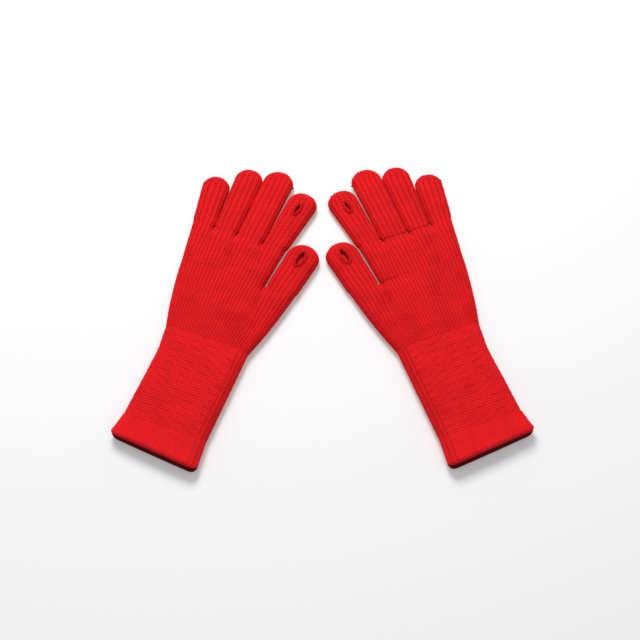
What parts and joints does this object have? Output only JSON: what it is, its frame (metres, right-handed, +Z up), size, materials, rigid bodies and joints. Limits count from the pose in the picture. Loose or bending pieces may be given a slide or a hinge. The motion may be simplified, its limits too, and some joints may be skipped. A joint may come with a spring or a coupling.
{
  "type": "pair of knitted gloves",
  "caption": "Long knitted gloves laid flat as a pair, with fingertip slits on index finger and thumb, a tight row-knitted wrist and a flared doubled hem.",
  "frame": {"origin": "centre of the bottom of the box round both gloves, on the surface they lie on", "axes": "+X from the right glove to the left glove across the pair, +Y towards the fingertips, +Z up, out of the palms"},
  "size_m": [0.3674, 0.3308, 0.0174],
  "materials": {
    "hand_knit": "soft red yarn knitted in ribbed columns, matt with a light fuzz",
    "wrist_knit": "soft red yarn knitted crosswise in tight rows, matt with a light fuzz",
    "hem_knit": "soft red yarn, a smoother doubled band",
    "finishing_yarn": "soft red yarn, twisted and tied off",
    "elastic_thread": "red covered elastic thread"
  },
  "bodies": {
    "right_palm": {"right_four_finger_palm": "hand_knit", "right_five_finger_palm": "hand_knit"},
    "right_little_finger_section": {"right_little_finger": "hand_knit", "right_little_yarn_end": "finishing_yarn"},
    "right_ring_finger_section": {"right_ring_finger": "hand_knit", "right_ring_yarn_end": "finishing_yarn"},
    "right_middle_finger_section": {"right_middle_finger": "hand_knit", "right_middle_yarn_end": "finishing_yarn"},
    "right_index_finger_section": {"right_index_finger": "hand_knit", "right_index_slit_edge": "finishing_yarn", "right_index_yarn_end": "finishing_yarn"},
    "right_thumb_section": {"right_thumb": "hand_knit", "right_thumb_slit_edge": "finishing_yarn", "right_thumb_yarn_end": "finishing_yarn"},
    "right_cuff": {"right_wrist": "wrist_knit", "right_wrist_elastic_threads": "elastic_thread", "right_hem_outer": "hem_knit", "right_hem_facing": "hem_knit", "right_hem_stitching": "finishing_yarn"},
    "left_palm": {"left_four_finger_palm": "hand_knit", "left_five_finger_palm": "hand_knit"},
    "left_little_finger_section": {"left_little_finger": "hand_knit", "left_little_yarn_end": "finishing_yarn"},
    "left_ring_finger_section": {"left_ring_finger": "hand_knit", "left_ring_yarn_end": "finishing_yarn"},
    "left_middle_finger_section": {"left_middle_finger": "hand_knit", "left_middle_yarn_end": "finishing_yarn"},
    "left_index_finger_section": {"left_index_finger": "hand_knit", "left_index_slit_edge": "finishing_yarn", "left_index_yarn_end": "finishing_yarn"},
    "left_thumb_section": {"left_thumb": "hand_knit", "left_thumb_slit_edge": "finishing_yarn", "left_thumb_yarn_end": "finishing_yarn"},
    "left_cuff": {"left_wrist": "wrist_knit", "left_wrist_elastic_threads": "elastic_thread", "left_hem_outer": "hem_knit", "left_hem_facing": "hem_knit", "left_hem_stitching": "finishing_yarn"}
  },
  "joints": [
    {"name": "right_little_fold", "type": "hinge", "parent": "right_palm", "child": "right_little_finger_section", "pos_m": [-0.11429, 0.09521, 0.0115], "axis": [0.9336, -0.3584, 0], "range_deg": [0, 90]},
    {"name": "right_ring_fold", "type": "hinge", "parent": "right_palm", "child": "right_ring_finger_section", "pos_m": [-0.09281, 0.08697, 0.0115], "axis": [0.9336, -0.3584, 0], "range_deg": [0, 90]},
    {"name": "right_middle_fold", "type": "hinge", "parent": "right_palm", "child": "right_middle_finger_section", "pos_m": [-0.06929, 0.07794, 0.0115], "axis": [0.9336, -0.3584, 0], "range_deg": [0, 90]},
    {"name": "right_index_fold", "type": "hinge", "parent": "right_palm", "child": "right_index_finger_section", "pos_m": [-0.04548, 0.0688, 0.0115], "axis": [0.9336, -0.3584, 0], "range_deg": [0, 90]},
    {"name": "right_thumb_fold", "type": "hinge", "parent": "right_palm", "child": "right_thumb_section", "pos_m": [-0.03887, 0.01806, 0.012], "axis": [0.9336, -0.3584, 0], "range_deg": [0, 90]},
    {"name": "right_wrist_fold", "type": "hinge", "parent": "right_palm", "child": "right_cuff", "pos_m": [-0.10311, -0.03612, 0.014], "axis": [-0.9336, 0.3584, 0], "range_deg": [0, 90]},
    {"name": "left_little_fold", "type": "hinge", "parent": "left_palm", "child": "left_little_finger_section", "pos_m": [0.11429, 0.09821, 0.0115], "axis": [0.9336, 0.3584, 0], "range_deg": [0, 90]},
    {"name": "left_ring_fold", "type": "hinge", "parent": "left_palm", "child": "left_ring_finger_section", "pos_m": [0.09281, 0.08997, 0.0115], "axis": [0.9336, 0.3584, 0], "range_deg": [0, 90]},
    {"name": "left_middle_fold", "type": "hinge", "parent": "left_palm", "child": "left_middle_finger_section", "pos_m": [0.06929, 0.08094, 0.0115], "axis": [0.9336, 0.3584, 0], "range_deg": [0, 90]},
    {"name": "left_index_fold", "type": "hinge", "parent": "left_palm", "child": "left_index_finger_section", "pos_m": [0.04548, 0.0718, 0.0115], "axis": [0.9336, 0.3584, 0], "range_deg": [0, 90]},
    {"name": "left_thumb_fold", "type": "hinge", "parent": "left_palm", "child": "left_thumb_section", "pos_m": [0.03887, 0.02106, 0.012], "axis": [0.9336, 0.3584, 0], "range_deg": [0, 90]},
    {"name": "left_wrist_fold", "type": "hinge", "parent": "left_palm", "child": "left_cuff", "pos_m": [0.10311, -0.03311, 0.014], "axis": [-0.9336, -0.3584, 0], "range_deg": [0, 90]},
    {"name": "gloves_apart", "type": "slide", "parent": "right_palm", "child": "left_palm", "axis": [1, 0, 0], "range_m": [0, 0.3]}
  ]
}
